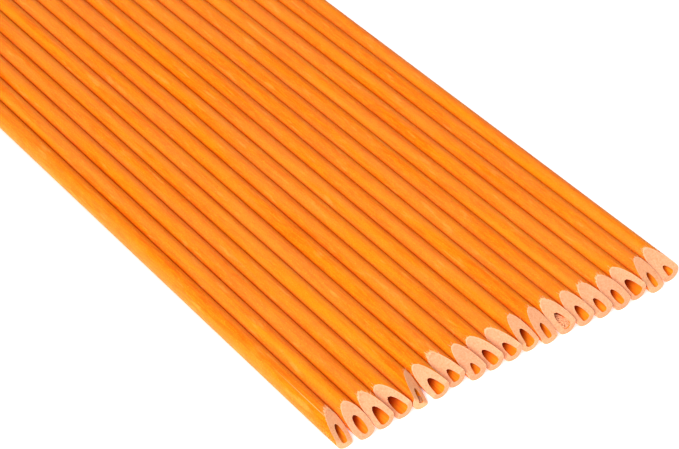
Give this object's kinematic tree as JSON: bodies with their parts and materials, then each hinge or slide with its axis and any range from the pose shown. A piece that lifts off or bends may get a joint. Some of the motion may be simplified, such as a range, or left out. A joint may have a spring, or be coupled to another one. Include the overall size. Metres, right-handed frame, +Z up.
{
  "type": "alignment stick set",
  "caption": "Hollow round fibreglass alignment sticks lying side by side in one flat row, each with a slant-sawn tip and a plug in its blunt end; every stick lifts off on its own.",
  "frame": {"origin": "middle of the row's footprint, on the ground it lies on", "axes": "+X along the sticks towards their sawn tips, +Y across the row, +Z up"},
  "size_m": [1.222, 0.1554, 0.0079],
  "materials": {
    "fibreglass": "satin, pigmented orange through the resin",
    "plug": "satin moulded"
  },
  "bodies": {
    "stick_01": {"tube_01": "fibreglass", "plug_01": "plug"},
    "stick_02": {"tube_02": "fibreglass", "plug_02": "plug"},
    "stick_03": {"tube_03": "fibreglass", "plug_03": "plug"},
    "stick_04": {"tube_04": "fibreglass", "plug_04": "plug"},
    "stick_05": {"tube_05": "fibreglass", "plug_05": "plug"},
    "stick_06": {"tube_06": "fibreglass", "plug_06": "plug"},
    "stick_07": {"tube_07": "fibreglass", "plug_07": "plug"},
    "stick_08": {"tube_08": "fibreglass", "plug_08": "plug"},
    "stick_09": {"tube_09": "fibreglass", "plug_09": "plug"},
    "stick_10": {"tube_10": "fibreglass", "plug_10": "plug"},
    "stick_11": {"tube_11": "fibreglass", "plug_11": "plug"},
    "stick_12": {"tube_12": "fibreglass", "plug_12": "plug"},
    "stick_13": {"tube_13": "fibreglass", "plug_13": "plug"},
    "stick_14": {"tube_14": "fibreglass", "plug_14": "plug"},
    "stick_15": {"tube_15": "fibreglass", "plug_15": "plug"},
    "stick_16": {"tube_16": "fibreglass", "plug_16": "plug"},
    "stick_17": {"tube_17": "fibreglass", "plug_17": "plug"},
    "stick_18": {"tube_18": "fibreglass", "plug_18": "plug"},
    "stick_19": {"tube_19": "fibreglass", "plug_19": "plug"}
  },
  "joints": [
    {"name": "lift_01", "type": "slide", "parent": "stick_10", "child": "stick_01", "axis": [0, 0, 1], "range_m": [0, 0.05]},
    {"name": "lift_02", "type": "slide", "parent": "stick_10", "child": "stick_02", "axis": [0, 0, 1], "range_m": [0, 0.05]},
    {"name": "lift_03", "type": "slide", "parent": "stick_10", "child": "stick_03", "axis": [0, 0, 1], "range_m": [0, 0.05]},
    {"name": "lift_04", "type": "slide", "parent": "stick_10", "child": "stick_04", "axis": [0, 0, 1], "range_m": [0, 0.05]},
    {"name": "lift_05", "type": "slide", "parent": "stick_10", "child": "stick_05", "axis": [0, 0, 1], "range_m": [0, 0.05]},
    {"name": "lift_06", "type": "slide", "parent": "stick_10", "child": "stick_06", "axis": [0, 0, 1], "range_m": [0, 0.05]},
    {"name": "lift_07", "type": "slide", "parent": "stick_10", "child": "stick_07", "axis": [0, 0, 1], "range_m": [0, 0.05]},
    {"name": "lift_08", "type": "slide", "parent": "stick_10", "child": "stick_08", "axis": [0, 0, 1], "range_m": [0, 0.05]},
    {"name": "lift_09", "type": "slide", "parent": "stick_10", "child": "stick_09", "axis": [0, 0, 1], "range_m": [0, 0.05]},
    {"name": "lift_11", "type": "slide", "parent": "stick_10", "child": "stick_11", "axis": [0, 0, 1], "range_m": [0, 0.05]},
    {"name": "lift_12", "type": "slide", "parent": "stick_10", "child": "stick_12", "axis": [0, 0, 1], "range_m": [0, 0.05]},
    {"name": "lift_13", "type": "slide", "parent": "stick_10", "child": "stick_13", "axis": [0, 0, 1], "range_m": [0, 0.05]},
    {"name": "lift_14", "type": "slide", "parent": "stick_10", "child": "stick_14", "axis": [0, 0, 1], "range_m": [0, 0.05]},
    {"name": "lift_15", "type": "slide", "parent": "stick_10", "child": "stick_15", "axis": [0, 0, 1], "range_m": [0, 0.05]},
    {"name": "lift_16", "type": "slide", "parent": "stick_10", "child": "stick_16", "axis": [0, 0, 1], "range_m": [0, 0.05]},
    {"name": "lift_17", "type": "slide", "parent": "stick_10", "child": "stick_17", "axis": [0, 0, 1], "range_m": [0, 0.05]},
    {"name": "lift_18", "type": "slide", "parent": "stick_10", "child": "stick_18", "axis": [0, 0, 1], "range_m": [0, 0.05]},
    {"name": "lift_19", "type": "slide", "parent": "stick_10", "child": "stick_19", "axis": [0, 0, 1], "range_m": [0, 0.05]}
  ]
}
